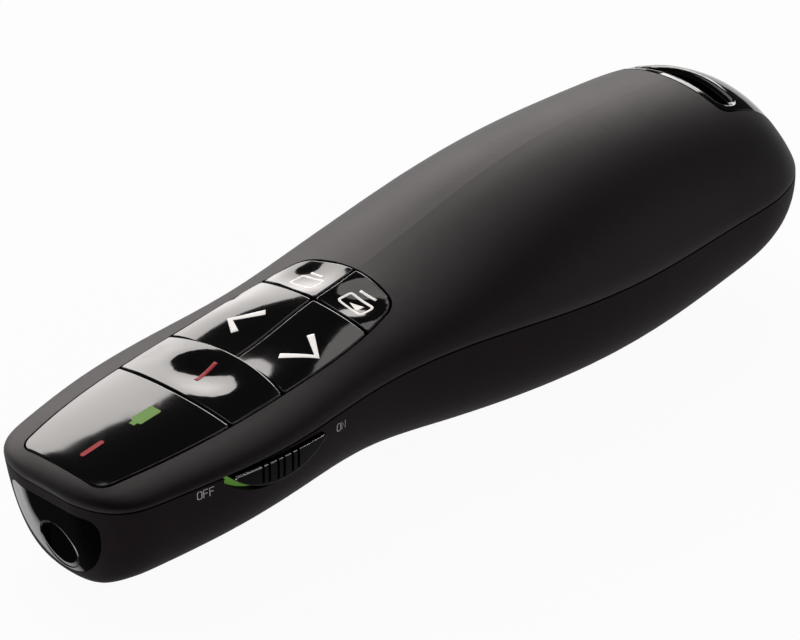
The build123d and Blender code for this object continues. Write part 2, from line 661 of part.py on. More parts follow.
def make_board():
    board = block(from_nose(BOARD_FRONT), from_nose(BOARD_REAR), -BOARD_HALF, BOARD_HALF, BOARD_Z, BOARD_TOP)
    board = fillet(board.edges().filter_by(Axis.Z), 1.2)
    board &= INTERIOR
    for x, y in screw_places():
        board -= post(x, y, 0, FAR, SCREW_RADIUS + SCREW_CLEARANCE)
    NODES["main_circuit_board"] = one_solid(board)

    bases = []
    for distance, y in KEY_PLACES.values():
        x = from_nose(distance)
        base = Pos(x, y, BOARD_TOP + SWITCH_HEIGHT / 2) * Box(SWITCH_SIZE, SWITCH_SIZE, SWITCH_HEIGHT)
        base = chamfer(base.edges().filter_by(Axis.Z), 0.5)
        bore_floor = BOARD_TOP + SWITCH_HEIGHT - SWITCH_BORE_DEPTH
        bases.append(base - post(x, y, bore_floor, FAR, PLUNGER_RADIUS + STEM_RUNNING))
    NODES["key_switch_bases"] = Compound(children=bases)

    for name, place in (("red_indicator_led", RED_LENS_AT), ("green_indicator_led", CELL_ICON_AT)):
        led = Pos(from_nose(place[0]), place[1], BOARD_TOP + LED_HEIGHT / 2) * Box(*LED_SIZE, LED_HEIGHT)
        NODES[name] = chamfer(led.faces().sort_by(Axis.Z)[-1].edges(), 0.15)

    NODES["controller_chip"] = chip_under_board(CONTROLLER_AT, CONTROLLER_SIZE)
    NODES["radio_chip"] = chip_under_board(RADIO_AT, RADIO_SIZE)
    NODES["crystal_can"] = chip_under_board(CRYSTAL_AT, CRYSTAL_SIZE)


# ================================================================ laser and nose
def make_laser():
    front = from_nose(BARREL_FRONT)
    rear = front + BARREL_LENGTH
    barrel = rod(front, rear, 0, LASER_Z, BARREL_RADIUS)
    barrel -= rod(front - 1, rear + 1, 0, LASER_Z, BARREL_BORE)
    NODES["laser_barrel"] = barrel

    lens_x = front + LENS_SETBACK
    NODES["lens_ring"] = rod(lens_x - RING_THICKNESS, lens_x, 0, LASER_Z, BARREL_BORE - 0.03) - rod(
        lens_x - 2, lens_x + 1, 0, LASER_Z, RING_BORE)
    lens = rod(lens_x, lens_x + LENS_THICKNESS, 0, LASER_Z, LENS_RADIUS)
    rim = lens.edges().filter_by(GeomType.CIRCLE).sort_by(Axis.X)[-1]
    NODES["collimator_lens"] = fillet(rim, LENS_CROWN)

    can_x = rear - DIODE_CAN - DIODE_FLANGE
    diode = rod(can_x, rear - DIODE_FLANGE, 0, LASER_Z, DIODE_CAN_RADIUS)
    diode += rod(rear - DIODE_FLANGE, rear, 0, LASER_Z, DIODE_FLANGE_RADIUS)
    NODES["laser_diode"] = diode

    leads = []
    for side in (1, -1):
        y = side * LEAD_SPREAD
        path = FilletPolyline((rear, y, LASER_Z), (rear + 2 * LEAD_BEND, y, LASER_Z),
                              (rear + 2 * LEAD_BEND, y, BOARD_Z), radius=LEAD_BEND)
        ring = Plane(origin=(rear, y, LASER_Z), z_dir=(1, 0, 0)) * Circle(LEAD_RADIUS)
        leads.append(sweep(ring, path=path))
    NODES["laser_leads"] = Compound(children=leads)


def nose_prism(grow):
    """Prism along X over the outline of the nose panel."""
    half = PANEL_HALF + grow
    low = PANEL_BOTTOM - grow
    high = PANEL_TOP + grow
    height = high - low
    side = [(0, low), (0.58 * half, low + 0.17 * height), (0.92 * half, low + 0.5 * height), (half, high)]
    right = [(-1.0, y, z) for y, z in side[1:]]
    left = [(-1.0, -y, z) for y, z in reversed(side[1:])]
    edges = [Spline(*left, (-1.0, 0, low), *right), Line(right[-1], left[0])]
    face = Pos(NOSE, 0, 0) * Face(Wire(edges))
    prism = extrude(face, amount=8, dir=(1, 0, 0))
    corners = prism.edges().filter_by(Axis.X)
    return fillet(corners, PANEL_ROUND + grow)


def make_nose_panel():
    face_x = from_nose(0.1) + NOSE_RAKE * (NOSE_RAKE_HEIGHT - LASER_Z) / NOSE_RAKE_HEIGHT
    prism = nose_prism(-PANEL_FIT)
    panel = (prism & LOWER) - Pos(PANEL_THICKNESS, 0, 0) * LOWER
    cone = Pos(face_x + PANEL_CONE / 2, 0, LASER_Z) * Rot(0, 90, 0) * Cone(
        PANEL_HOLE, PANEL_BORE, PANEL_CONE)
    mouth = rod(face_x - 3, face_x, 0, LASER_Z, PANEL_HOLE)
    panel = panel - cone - mouth - rod(face_x, face_x + 3, 0, LASER_Z, PANEL_BORE)
    NODES["nose_panel"] = one_solid(panel)
    glass_rear = face_x + PANEL_THICKNESS - 0.05
    NODES["laser_aperture_window"] = rod(
        glass_rear - APERTURE_THICKNESS, glass_rear, 0, LASER_Z, PANEL_BORE - APERTURE_FIT)


# ================================================================ power slider
def slider_outline(grow, stretch):
    """Prism along -Y over the slider's segment shape, stretched towards the nose by its travel."""
    half = SLIDER_LENGTH / 2 + grow
    top = SLIDER_TOP + grow
    sag = SLIDER_SAG + 2 * grow
    x = from_nose(SLIDER_X)
    radius = (half ** 2 + sag ** 2) / (2 * sag)
    low = top - sag
    lean = math.asin(half / radius) / 2
    mid = (radius * math.sin(lean), low + radius * (1 - math.cos(lean)))
    right = [(x, 0, low), (x + mid[0], 0, mid[1]), (x + half, 0, top)]
    left = [(x - stretch - half, 0, top), (x - stretch - mid[0], 0, mid[1]), (x - stretch, 0, low)]
    edges = [ThreePointArc(*right), Line(right[-1], left[0]), ThreePointArc(*left)]
    if stretch > 0:
        edges.append(Line(left[-1], right[0]))
    prism = extrude(Face(Wire(edges)), amount=FAR, dir=(0, -1, 0))
    tips = prism.edges().filter_by(Axis.Y).sort_by(Axis.Z)[-2:]
    return prism.fillet(SLIDER_TIP + grow, tips)


POCKET_CORE = envelope("whole", POCKET_DEPTH, tail_start=0.8)
SLIDER_CORE = envelope("whole", SLIDER_DEPTH, tail_start=0.8)
SLIDER_FACE = envelope("whole", -SLIDER_PROUD, 0.0, nose_start=1.0, tail_start=1.2)
GROOVE_CORE = envelope("whole", GROOVE_DEPTH - SLIDER_PROUD, 0.0, nose_start=1.0, tail_start=1.2)


def wall_y(distance, z, inset):
    """Where the -Y wall stands at a height below the parting line, drawn in by an inset."""
    half, _, part, under = profile(distance, inset, inset)
    low, high = 0.0, 1.0
    for _ in range(40):
        t = (low + high) / 2
        drop = 3 * (1 - t) ** 2 * t * UNDER_SIDE_FULL + 3 * (1 - t) * t * t + t ** 3
        if part - drop * (part - under) > z:
            low = t
        else:
            high = t
    t = (low + high) / 2
    return -half * ((1 - t) ** 3 + 3 * (1 - t) ** 2 * t + 3 * (1 - t) * t * t * UNDER_FLAT_FULL)


PAD_Y = wall_y(SLIDER_X, SLIDER_LEG_Z, PAD_DEPTH)


def make_slider():
    x = from_nose(SLIDER_X)
    z = SLIDER_LEG_Z
    knob = one_solid((SLIDER_FACE & slider_outline(0, 0)) - SLIDER_CORE)
    knob = knob.fillet(SLIDER_EDGE, knob.faces().sort_by(Axis.Y)[0].edges())
    face_y = wall_y(SLIDER_X, z, -SLIDER_PROUD)
    half, sag = SLIDER_LENGTH / 2, SLIDER_SAG
    bow = (half ** 2 + sag ** 2) / (2 * sag)
    for pair in SLIDER_GROOVES:
        for offset in (pair - GROOVE_PITCH / 2, pair + GROOVE_PITCH / 2):
            foot = SLIDER_TOP - sag + bow - math.sqrt(bow ** 2 - offset ** 2) + GROOVE_FOOT
            groove = block(x + offset - GROOVE_WIDTH / 2, x + offset + GROOVE_WIDTH / 2, -FAR, 0, foot, FAR)
            knob -= groove - GROOVE_CORE
    hook_y = PAD_Y + FIT
    leg_x, leg_z = SLIDER_LEG[0] / 2, SLIDER_LEG[1] / 2
    reach = TOGGLE_Y - TOGGLE_SIZE[1] / 2 - 0.3
    leg = block(x - leg_x, x + leg_x, face_y + SLIDER_PROUD + 0.4, reach, z - leg_z, z + leg_z)
    hook = block(x - leg_x - SLIDER_HOOK, x + leg_x + SLIDER_HOOK, hook_y, hook_y + SLIDER_HOOK,
                 z - leg_z, z + leg_z + SLIDER_HOOK)
    notch_x = TOGGLE_KNOB[0] / 2 + 0.05
    notch = block(x - notch_x, x + notch_x, hook_y + SLIDER_HOOK + 0.2, 0, 0, FAR)
    NODES["power_slider"] = one_solid((knob + leg + hook) - notch)

    toggle = Pos(x - SLIDER_TRAVEL / 2, TOGGLE_Y, BOARD_TOP + TOGGLE_SIZE[2] / 2) * Box(*TOGGLE_SIZE)
    toggle_front = TOGGLE_Y - TOGGLE_SIZE[1] / 2
    run = TOGGLE_KNOB[0] / 2 + FIT
    groove_z = TOGGLE_KNOB[1] / 2 + FIT
    toggle -= block(x - SLIDER_TRAVEL - run, x + run, toggle_front - 1, toggle_front + 1.6,
                    TOGGLE_KNOB_Z - groove_z, TOGGLE_KNOB_Z + groove_z)
    NODES["slide_switch_body"] = toggle
    knob_x = TOGGLE_KNOB[0] / 2
    NODES["slide_switch_knob"] = block(
        x - knob_x, x + knob_x, hook_y + SLIDER_HOOK + 0.3, toggle_front + 1.3,
        TOGGLE_KNOB_Z - TOGGLE_KNOB[1] / 2, TOGGLE_KNOB_Z + TOGGLE_KNOB[1] / 2)

    # The green strip lies on the pocket's floor, where the slider uncovers it at ON.
    strip_top = envelope("whole", POCKET_DEPTH - STRIP_THICKNESS, tail_start=0.8)
    strip = (slider_outline(SLIDER_GAP - 0.1, SLIDER_TRAVEL) & strip_top) - POCKET_CORE
    green_end = x - SLIDER_LENGTH / 2 + STRIP_COVER
    strip &= block(NOSE, green_end, -FAR, 0, 0, SLIDER_TOP)
    NODES["power_on_strip"] = one_solid(strip)


# ================================================================ battery bay
CELL_X = from_nose(CELL_FRONT)
CELL_REAR = CELL_X + CELL_LENGTH + NUB_LENGTH
BAY_FRONT = CELL_X - SPRING_ROOM
BAY_REAR = CELL_REAR + SPRING_ROOM
TRAY_FRONT = BAY_FRONT - TRAY_WALL
TRAY_REAR = BAY_REAR + TRAY_WALL
TRAY_TOP = TRAY_ROOF_Z + TRAY_ROOF


def make_cells():
    for name, side in (("battery_1", -1), ("battery_2", 1)):
        y = side * CELL_Y
        if side < 0:
            cell = rod(CELL_X, CELL_X + CELL_LENGTH, y, CELL_Z, CELL_RADIUS)
            nub = rod(CELL_X + CELL_LENGTH, CELL_REAR, y, CELL_Z, NUB_RADIUS)
        else:
            cell = rod(CELL_X + NUB_LENGTH, CELL_REAR, y, CELL_Z, CELL_RADIUS)
            nub = rod(CELL_X, CELL_X + NUB_LENGTH, y, CELL_Z, NUB_RADIUS)
        cell = fillet(cell.edges().filter_by(GeomType.CIRCLE), 0.5)
        NODES[name] = one_solid(cell + nub)


def coil_spring(x, y, direction):
    """A contact spring that stands on a contact plate and presses on a cell."""
    height = SPRING_ROOM - CONTACT_THICKNESS - 2 * (SPRING_WIRE + SPRING_TOUCH)
    path = Helix(pitch=height / SPRING_TURNS, height=height, radius=SPRING_RADIUS)
    start = path @ 0
    ring = Plane(origin=start, z_dir=path % 0) * Circle(SPRING_WIRE)
    coil = sweep(ring, path=path)
    lift = CONTACT_THICKNESS + SPRING_WIRE + SPRING_TOUCH
    return Pos(x + direction * lift, y, CELL_Z) * Rot(0, 90 * direction, 0) * coil


def make_contacts():
    half = CONTACT_HALF
    z0, z1 = CELL_Z - CONTACT_DROP, CELL_Z + half
    front = BAY_FRONT
    rear = BAY_REAR
    bump = SPRING_ROOM - CONTACT_THICKNESS
    NODES["battery_springs"] = Compound(children=[
        coil_spring(front, -CELL_Y, 1), coil_spring(rear, CELL_Y, -1)])
    negative = block(front, front + CONTACT_THICKNESS, -CELL_Y - half, -CELL_Y + half, z0, z1)
    NODES["negative_contact"] = fillet(negative.edges().filter_by(Axis.X), 0.8)
    positive = block(front, front + CONTACT_THICKNESS, CELL_Y - half, CELL_Y + half, z0, z1)
    positive = fillet(positive.edges().filter_by(Axis.X), 0.8)
    dimple = Pos(front + CONTACT_THICKNESS + bump / 2, CELL_Y, CELL_Z) * Rot(0, 90, 0) * Cone(2.6, 1.5, bump)
    NODES["positive_contact"] = one_solid(positive + dimple)
    bridge = block(rear - CONTACT_THICKNESS, rear, -CELL_Y - half, CELL_Y + half, z0, z1)
    bridge = fillet(bridge.edges().filter_by(Axis.X), 0.8)
    dimple = Pos(rear - CONTACT_THICKNESS - bump / 2, -CELL_Y, CELL_Z) * Rot(0, -90, 0) * Cone(2.6, 1.5, bump)
    NODES["bridge_contact"] = one_solid(bridge + dimple)


def make_tray():
    side_in = CELL_Y + CELL_RADIUS + TRAY_SIDE_GAP
    side_out = side_in + TRAY_WALL
    tray = block(TRAY_FRONT, TRAY_REAR, -FAR, FAR, TRAY_ROOF_Z, TRAY_TOP) & INTERIOR
    walls = block(TRAY_FRONT, TRAY_REAR, -side_out, side_out, TRAY_SKIRT_Z, TRAY_ROOF_Z)
    walls -= block(BAY_FRONT, BAY_REAR, -side_in, side_in, 0, TRAY_ROOF_Z)
    rails_start = from_tail(NOTCH_FRONT + CASE_LENGTH + PLUG_LENGTH - 2)
    rails_end = from_tail(NOTCH_FRONT + 1.5)
    rail_in = CASE_HALF + FIT
    for side in (1, -1):
        y0, y1 = sorted((side * rail_in, side * (rail_in + DOCK_RAIL)))
        tray += block(rails_start, rails_end, y0, y1, TRAY_TOP, TRAY_TOP + DOCK_RAIL_HEIGHT)
    NODES["battery_tray"] = one_solid(tray + (walls & INTERIOR))


def door_prism(grow):
    front = CELL_X - DOOR_LEAD - grow
    return block(front, TAIL + END_MARGIN, -DOOR_HALF - grow, DOOR_HALF + grow, -5, DOOR_TOP + grow)


def make_door():
    skin = one_solid((LOWER & door_prism(0)) - CAVITY)
    front = CELL_X - DOOR_LEAD
    inside = block(front, TAIL, -DOOR_HALF, DOOR_HALF, -5, DOOR_RIB_TOP) & LOWER
    for side in (1, -1):
        y = side * DOOR_TAB_Y
        root = block(front + 0.2, front + DOOR_TAB_ROOT, y - DOOR_TAB[1] / 2, y + DOOR_TAB[1] / 2,
                     0, DOOR_TAB_Z + DOOR_TAB[2])
        tab = block(front - DOOR_TAB[0], front + DOOR_TAB_ROOT, y - DOOR_TAB[1] / 2, y + DOOR_TAB[1] / 2,
                    DOOR_TAB_Z, DOOR_TAB_Z + DOOR_TAB[2])
        skin += tab + (root & inside)
        rib_y = side * (DOOR_HALF - 3.0)
        rib = block(CELL_X, CELL_X + DOOR_RIB_LENGTH, rib_y - DOOR_RIB / 2, rib_y + DOOR_RIB / 2,
                    0, DOOR_RIB_TOP)
        skin += rib & inside
    for i in range(GRIP_RIBS):
        x = from_tail(GRIP_FROM_TAIL) + i * GRIP_PITCH
        z = underside_at(x - NOSE)
        skin -= Pos(x, 0, z + GRIP_DEPTH - 0.8) * Rot(90, 0, 0) * Cylinder(0.8, GRIP_WIDTH)
    skin &= block(NOSE, TAIL + END_MARGIN, -FAR, FAR, 0, FAR)
    NODES["battery_door"] = one_solid(skin)


# ================================================================ receiver
def notch_prism(shrink, floor):
    """Upright prism of the tail notch that the receiver's head fills, open towards the tail."""
    front = from_tail(NOTCH_FRONT) + shrink
    half = NOTCH_HALF - shrink
    corner = front + NOTCH_SIDE_DROP
    end = TAIL + END_MARGIN
    edges = [ThreePointArc((corner, half, floor), (front, 0, floor), (corner, -half, floor)),
             Line((corner, -half, floor), (end, -half, floor)), Line((end, -half, floor), (end, half, floor)),
             Line((end, half, floor), (corner, half, floor))]
    prism = extrude(Face(Wire(edges)), amount=FAR, dir=(0, 0, 1))
    uprights = prism.edges().filter_by(Axis.Z).sort_by(Axis.X)
    return fillet(uprights[:2], NOTCH_ROUND - shrink)


def finger_slot():
    """Crescent-shaped pocket that a fingertip pulls the receiver out by."""
    front = from_tail(SLOT_FRONT)
    rear = from_tail(SLOT_REAR)
    half = SLOT_HALF
    floor = SLOT_FLOOR
    rear_end = rear - SLOT_SWEEP
    edges = [Line((front, -half, floor), (front, half, floor)),
             Line((front, half, floor), (rear_end, half, floor)),
             ThreePointArc((rear_end, half, floor), (rear, 0, floor), (rear_end, -half, floor)),
             Line((rear_end, -half, floor), (front, -half, floor))]
    slot = extrude(Face(Wire(edges)), amount=FAR, dir=(0, 0, 1))
    return fillet(slot.edges().filter_by(Axis.Z), SLOT_ROUND)


def make_receiver():
    head_space = notch_prism(HEAD_GAP, NOTCH_FLOOR + HEAD_GAP)
    slot = finger_slot()
    head = one_solid((UPPER & head_space) - slot)
    walls = slot.faces().filter_by(lambda face: abs(face.normal_at().Z) < 0.1)
    mouth = [edge for edge in head.edges()
             if edge.center().Z > SLOT_FLOOR + 2 and abs((edge % 0.5).Z) < 0.9
             and any(wall.distance_to(edge @ 0.5) < 0.01 for wall in walls)]
    NODES["receiver_head"] = head.fillet(SLOT_RIM, mouth)

    case_z = TRAY_TOP + CASE_LIFT
    case_rear = from_tail(NOTCH_FRONT) + NOTCH_SIDE_DROP + HEAD_GAP
    case_front = case_rear - CASE_LENGTH
    mid_z = case_z + CASE_HEIGHT / 2
    outer = block(case_front, case_rear + 1, -CASE_HALF, CASE_HALF, case_z, case_z + CASE_HEIGHT)
    outer = fillet(outer.edges().filter_by(Axis.X), CASE_ROUND)
    outer = fillet(outer.faces().sort_by(Axis.X)[0].edges(), 0.5)
    inner = block(case_front + CASE_WALL, case_rear - CASE_WALL - 0.6, -CASE_HALF + CASE_WALL,
                  CASE_HALF - CASE_WALL, case_z + CASE_WALL, case_z + CASE_HEIGHT - CASE_WALL)
    mouth = block(case_front - 1, case_front + CASE_WALL + PLUG_ROOT, -PLUG_WIDTH / 2, PLUG_WIDTH / 2,
                  mid_z - PLUG_HEIGHT / 2, mid_z + PLUG_HEIGHT / 2)
    case = outer - head_space - inner - mouth
    case &= block(NOSE, case_rear, -FAR, FAR, 0, FAR)
    NODES["receiver_case"] = one_solid(case)

    plug_tip = case_front - PLUG_LENGTH
    root = case_front + CASE_WALL
    shell = block(plug_tip, root, -PLUG_WIDTH / 2, PLUG_WIDTH / 2,
                  mid_z - PLUG_HEIGHT / 2, mid_z + PLUG_HEIGHT / 2)
    shell = fillet(shell.edges().filter_by(Axis.X), 0.4)
    shell -= block(plug_tip - 1, root + 1, -PLUG_WIDTH / 2 + PLUG_WALL, PLUG_WIDTH / 2 - PLUG_WALL,
                   mid_z - PLUG_HEIGHT / 2 + PLUG_WALL, mid_z + PLUG_HEIGHT / 2 - PLUG_WALL)
    window_x = plug_tip + 6.4
    for side in (1, -1):
        shell -= block(window_x, window_x + 2.2, side * 2.5 - 1.1, side * 2.5 + 1.1, 0, FAR)
    NODES["usb_plug_shell"] = one_solid(shell)

    tongue_top = mid_z - PLUG_HEIGHT / 2 + PLUG_WALL + TONGUE_HEIGHT
    tongue = block(plug_tip + 0.6, root + PLUG_ROOT, -TONGUE_WIDTH / 2, TONGUE_WIDTH / 2,
                   tongue_top - TONGUE_HEIGHT, tongue_top)
    strips = []
    for i in range(CONTACT_COUNT):
        y = (i - (CONTACT_COUNT - 1) / 2) * CONTACT_PITCH
        length, width, thick = CONTACT_STRIP
        strips.append(block(plug_tip + 1.2, plug_tip + 1.2 + length, y - width / 2, y + width / 2,
                            tongue_top - thick, tongue_top))
        tongue -= strips[-1]
    NODES["usb_tongue"] = one_solid(tongue)
    NODES["usb_contacts"] = Compound(children=strips)

    board_x = root + PLUG_ROOT
    board_z = case_z + CASE_WALL
    board = block(board_x, board_x + STICK_BOARD[0], -STICK_BOARD[1] / 2, STICK_BOARD[1] / 2,
                  board_z, board_z + STICK_BOARD[2])
    chip_x = board_x + STICK_BOARD[0] / 2
    chip = block(chip_x, chip_x + STICK_CHIP[0], -STICK_CHIP[1] / 2, STICK_CHIP[1] / 2,
                 board_z + STICK_BOARD[2], board_z + STICK_BOARD[2] + STICK_CHIP[2])
    NODES["receiver_board"] = board
    NODES["receiver_chip"] = chip


# ================================================================ shells
def boss_places():
    front = [(from_nose(FRONT_BOSS_X), side * FRONT_BOSS_Y) for side in (1, -1)]
    rear = [(from_tail(TAIL_BOSS_X), side * TAIL_BOSS_Y) for side in (1, -1)]
    return front + rear


def make_top_shell():
    hollow = CAVITY
    for x, y in boss_places():
        hollow -= post(x, y, parting_at(x - NOSE), FAR, BOSS_RADIUS)
    shell = UPPER - hollow - OPENING - notch_prism(0, 0)
    for x, y in boss_places():
        pilot_top = parting_at(x - NOSE) + SHELL_SCREW_BITE + SCREW_CLEARANCE
        shell -= post(x, y, 0, pilot_top, SHELL_SCREW_RADIUS + PILOT_CLEARANCE)
    NODES["top_shell"] = one_solid(shell)


def hollow_of_bottom():
    """The inside of the bottom shell, less its pads, shelves and bosses."""
    hollow = CAVITY
    x = from_nose(SLIDER_X)
    pad_half = SLIDER_LENGTH / 2 + PAD_MARGIN
    hollow -= block(x - SLIDER_TRAVEL - pad_half, x + pad_half, -FAR, PAD_Y,
                    SLIDER_TOP - SLIDER_SAG - PAD_MARGIN, parting_at(SLIDER_X - pad_half) - 0.2)
    hollow -= block(from_nose(CRADLE_FRONT), from_nose(CRADLE_REAR), -CRADLE_HALF, CRADLE_HALF, 0, LASER_Z)
    for px, py in screw_places():
        hollow -= post(px, py, 0, BOARD_Z, SCREW_RADIUS + BOSS_WALL)
    for start in TRAY_SHELF:
        for side in (1, -1):
            y0, y1 = sorted((side * TRAY_SHELF_Y, side * FAR))
            x0 = CELL_X + start
            hollow -= block(x0, x0 + TRAY_SHELF_LENGTH, y0, y1, TRAY_SHELF_Z, TRAY_ROOF_Z)
    for bx, by in boss_places():
        hollow -= post(bx, by, 0, parting_at(bx - NOSE), BOSS_RADIUS)
    return hollow


def make_bottom_shell():
    shell = LOWER - hollow_of_bottom()
    shell -= parting_band(SHADOW_GAP, 1.0) - envelope("whole", SHADOW_DEPTH)

    # Pocket and slot for the power slider.
    x = from_nose(SLIDER_X)
    shell -= slider_outline(SLIDER_GAP, SLIDER_TRAVEL) - POCKET_CORE
    leg_x, leg_z = SLIDER_LEG[0] / 2 + FIT, SLIDER_LEG[1] / 2 + FIT
    shell -= block(x - SLIDER_TRAVEL - leg_x, x + leg_x, -FAR, -BOARD_HALF,
                   SLIDER_LEG_Z - leg_z, SLIDER_LEG_Z + leg_z)

    # Nose: pocket for the glossy panel and bore for the laser barrel.
    shell -= nose_prism(0) - Pos(PANEL_THICKNESS + PANEL_FIT, 0, 0) * LOWER
    bore_end = from_nose(BARREL_FRONT) + BARREL_LENGTH + 1
    shell -= rod(NOSE - END_MARGIN, bore_end, 0, LASER_Z, BARREL_RADIUS + BARREL_FIT)

    for px, py in screw_places():
        depth = FRAME_SCREW_LENGTH - (SCREW_SEAT - BOARD_Z) + 0.3
        shell -= post(px, py, BOARD_Z - depth, BOARD_Z, SCREW_RADIUS + PILOT_CLEARANCE)
    for bx, by in boss_places():
        seat = parting_at(bx - NOSE) - SHELL_SEAT_DROP
        shell -= post(bx, by, -END_MARGIN, seat, SHELL_SCREW_HEAD_RADIUS + SCREW_CLEARANCE)
        shell -= post(bx, by, 0, FAR, SHELL_SCREW_RADIUS + SCREW_CLEARANCE)

    shell -= door_prism(DOOR_GAP)
    shell &= block(NOSE - END_MARGIN, TAIL + END_MARGIN, -FAR, FAR, 0, FAR)
    NODES["bottom_shell"] = one_solid(shell)


def make_shell_screws():
    screws = []
    for x, y in boss_places():
        part = parting_at(x - NOSE)
        seat = part - SHELL_SEAT_DROP
        screw = post(x, y, seat - SHELL_SCREW_HEAD, seat, SHELL_SCREW_HEAD_RADIUS)
        screw += post(x, y, seat, part + SHELL_SCREW_BITE, SHELL_SCREW_RADIUS)
        screws.append(screw)
    NODES["shell_screws"] = Compound(children=screws)


make_keys()
make_window()
make_key_frame()
make_board()
make_laser()
make_nose_panel()
make_slider()
make_cells()
make_contacts()
make_tray()
make_door()
make_receiver()
make_top_shell()
make_bottom_shell()
make_shell_screws()

os.makedirs("parts", exist_ok=True)
for node, shape in NODES.items():
    export_step(shape, f"parts/{node}.step")
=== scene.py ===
import json
import math

import bmesh
import bpy
from mathutils import Matrix, Vector
from mathutils.bvhtree import BVHTree


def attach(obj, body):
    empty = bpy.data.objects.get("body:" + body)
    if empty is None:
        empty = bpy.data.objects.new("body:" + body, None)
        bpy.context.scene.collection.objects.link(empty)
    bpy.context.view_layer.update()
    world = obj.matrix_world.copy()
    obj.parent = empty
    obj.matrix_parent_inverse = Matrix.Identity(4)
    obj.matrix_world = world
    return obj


MM = 0.001

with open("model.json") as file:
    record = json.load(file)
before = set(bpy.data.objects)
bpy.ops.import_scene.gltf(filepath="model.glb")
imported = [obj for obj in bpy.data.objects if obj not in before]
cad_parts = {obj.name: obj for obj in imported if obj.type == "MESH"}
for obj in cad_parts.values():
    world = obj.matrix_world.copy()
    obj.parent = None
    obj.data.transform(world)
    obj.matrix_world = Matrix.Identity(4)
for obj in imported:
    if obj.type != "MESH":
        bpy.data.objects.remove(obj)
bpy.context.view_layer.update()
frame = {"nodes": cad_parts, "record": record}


# ---------------------------------------------------------------- camera
AIM = Vector((-1.554, 0.0, 11.499)) * MM
AZIMUTH = math.radians(-41.619)
ELEVATION = math.radians(29.681)
ROLL = math.radians(-3.234)
DISTANCE = 586.261 * MM
LENS_MM = 216.45


def place_camera():
    """The camera looks down on the nose from the slider's side."""
    back = Vector((math.sin(AZIMUTH) * math.cos(ELEVATION), -math.cos(AZIMUTH) * math.cos(ELEVATION),
                   math.sin(ELEVATION)))
    right = Vector((math.cos(AZIMUTH), math.sin(AZIMUTH), 0.0))
    up = back.cross(right)
    right_rolled = right * math.cos(ROLL) + up * math.sin(ROLL)
    up_rolled = up * math.cos(ROLL) - right * math.sin(ROLL)
    camera = bpy.data.objects.new("camera", bpy.data.cameras.new("camera"))
    bpy.context.scene.collection.objects.link(camera)
    turn = Matrix((right_rolled, up_rolled, back)).transposed().to_4x4()
    camera.matrix_world = Matrix.Translation(AIM + back * DISTANCE) @ turn
    camera.data.lens = LENS_MM
    camera.data.clip_start = 0.05
    camera.data.clip_end = 50.0
    bpy.context.scene.camera = camera


# ---------------------------------------------------------------- materials
def group_socket(group, name, kind, direction, value=None):
    """Gives a node group a named input or output."""
    made = group.interface.new_socket(name=name, in_out=direction, socket_type=kind)
    if value is not None:
        made.default_value = value


def fine_speckle_group():
    """Fine moulded grain: a mask that wanders over the surface and a height for a bump."""
    group = bpy.data.node_groups.new("fine_speckle", "ShaderNodeTree")
    group_socket(group, "Vector", "NodeSocketVector", "INPUT")
    group_socket(group, "Grain per metre", "NodeSocketFloat", "INPUT", 4000.0)
    group_socket(group, "Patch per metre", "NodeSocketFloat", "INPUT", 90.0)
    group_socket(group, "Mask", "NodeSocketFloat", "OUTPUT")
    group_socket(group, "Height", "NodeSocketFloat", "OUTPUT")
    nodes, links = group.nodes, group.links
    inlet = nodes.new("NodeGroupInput")
    outlet = nodes.new("NodeGroupOutput")
    grain = nodes.new("ShaderNodeTexNoise")
    grain.inputs["Detail"].default_value = 2.0
    patch = nodes.new("ShaderNodeTexNoise")
    patch.inputs["Detail"].default_value = 3.0
    links.new(inlet.outputs["Vector"], grain.inputs["Vector"])
    links.new(inlet.outputs["Vector"], patch.inputs["Vector"])
    links.new(inlet.outputs["Grain per metre"], grain.inputs["Scale"])
    links.new(inlet.outputs["Patch per metre"], patch.inputs["Scale"])
    links.new(patch.outputs["Fac"], outlet.inputs["Mask"])
    links.new(grain.outputs["Fac"], outlet.inputs["Height"])
    return group


SPECKLE = fine_speckle_group()


def blank_material(name):
    """A new material with its shader, nodes and links."""
    material = bpy.data.materials.new(name)
    material.use_nodes = True
    shader = material.node_tree.nodes["Principled BSDF"]
    return material, shader, material.node_tree.nodes, material.node_tree.links


SMOOTHEST = 0.01             # least roughness that a finish wanders down to


